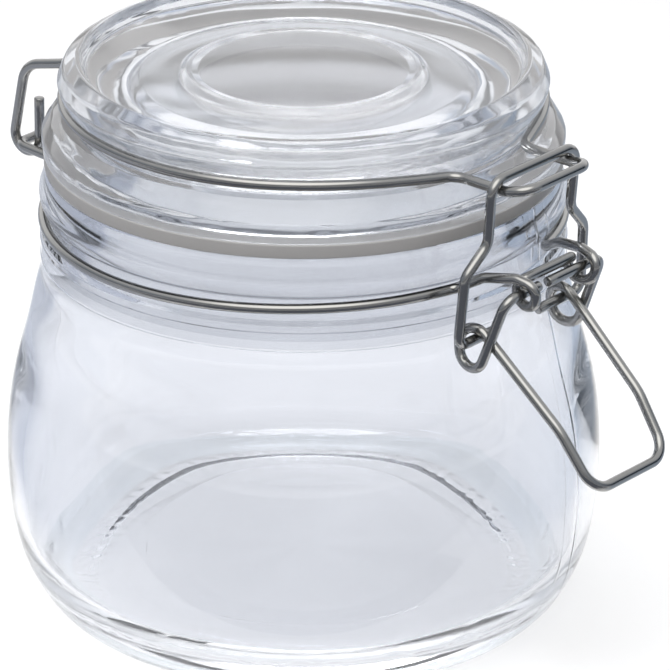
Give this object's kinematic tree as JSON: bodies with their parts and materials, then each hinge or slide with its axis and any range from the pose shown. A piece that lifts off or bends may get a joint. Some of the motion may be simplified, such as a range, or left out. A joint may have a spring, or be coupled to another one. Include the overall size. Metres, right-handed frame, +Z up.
{
  "type": "clip-top glass storage jar",
  "caption": "Empty clear-glass storage jar with a glass lid, flat sealing ring and bent-wire clasp: the lever pulls the bail over the lid wire's tongue to shut it.",
  "frame": {"origin": "centre of the jar's flat underside, on its axis", "axes": "+Z up along the jar's axis, -Y towards the clasp, +Y towards the lid hinge, +X to the right seen from the clasp"},
  "size_m": [0.1098, 0.1412, 0.1049],
  "materials": {
    "glass": "clear pressed glass",
    "seal": "translucent grey-white ring",
    "wire": "bright drawn wire"
  },
  "bodies": {
    "jar": {"jar_body": "glass", "gasket": "seal", "collar_wire": "wire"},
    "lid": {"lid": "glass", "lid_wire": "wire"},
    "lever": {"lever": "wire"},
    "bail": {"bail": "wire"}
  },
  "joints": [
    {"name": "lid_hinge", "type": "hinge", "parent": "jar", "child": "lid", "pos_m": [0, 0.0604, 0.0758], "axis": [-1, 0, 0], "range_deg": [0, 105]},
    {"name": "lever_pivot", "type": "hinge", "parent": "jar", "child": "lever", "pos_m": [0, -0.0583, 0.0776], "axis": [-1, 0, 0], "range_deg": [0, 105]},
    {"name": "bail_pivot", "type": "hinge", "parent": "lever", "child": "bail", "pos_m": [0, -0.0507, 0.06793], "axis": [-1, 0, 0], "range_deg": [-105, 0]}
  ],
  "couplings": [
    {"joint": "lever_pivot", "follows": "lid_hinge", "ratio": 1},
    {"joint": "bail_pivot", "follows": "lid_hinge", "ratio": -1}
  ]
}
